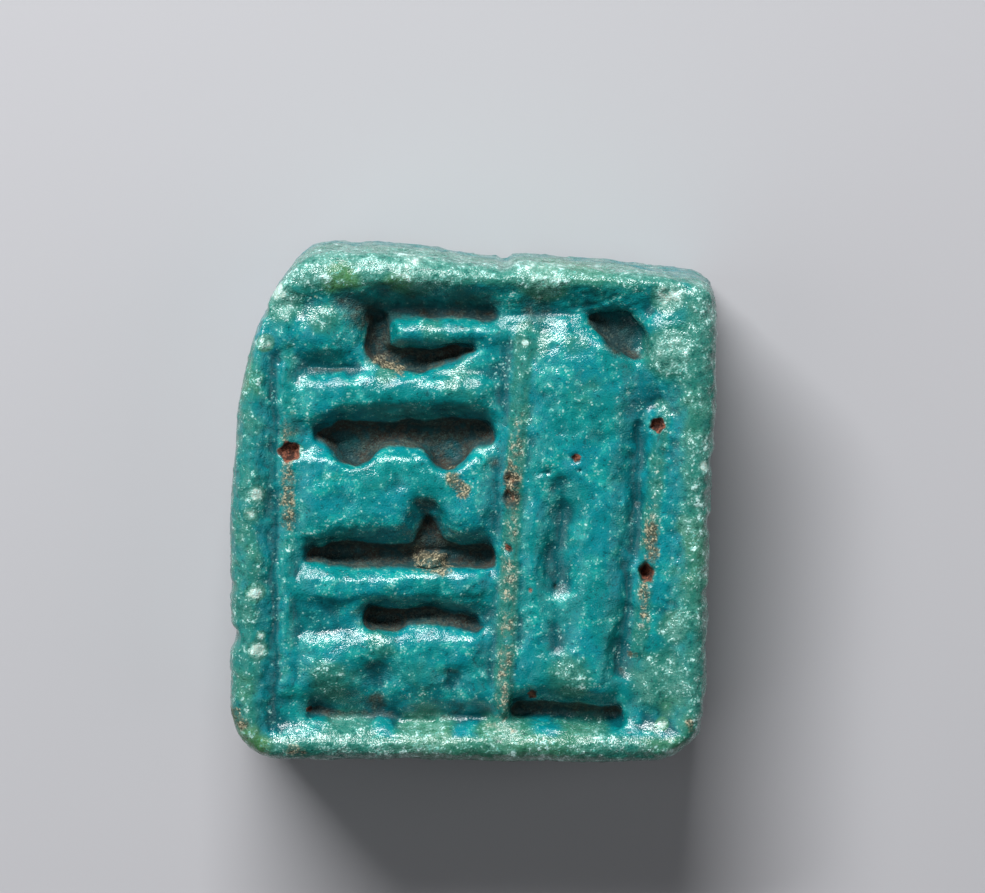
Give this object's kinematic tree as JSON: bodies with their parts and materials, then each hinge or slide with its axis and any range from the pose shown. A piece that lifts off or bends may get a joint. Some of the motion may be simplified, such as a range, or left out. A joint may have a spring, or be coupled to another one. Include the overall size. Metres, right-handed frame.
{
  "type": "stamp seal amulet",
  "caption": "Near-square glazed faience stamp seal with a raised rim, a face of sunk strokes in columns and a string hole from side to side.",
  "frame": {"origin": "on the flat back, below the middle of the seal's box, as it lies on its back", "axes": "+Z out of the stamping face, +Y towards the top edge, +X to the right seen from the front"},
  "size_m": [0.0124, 0.013, 0.005],
  "materials": {
    "faience": "turquoise alkaline glaze, pooled and glossy in the hollows, pale and grainy on the rim, brown earth in the strokes"
  },
  "bodies": {
    "root": {"seal": "faience"}
  },
  "joints": []
}
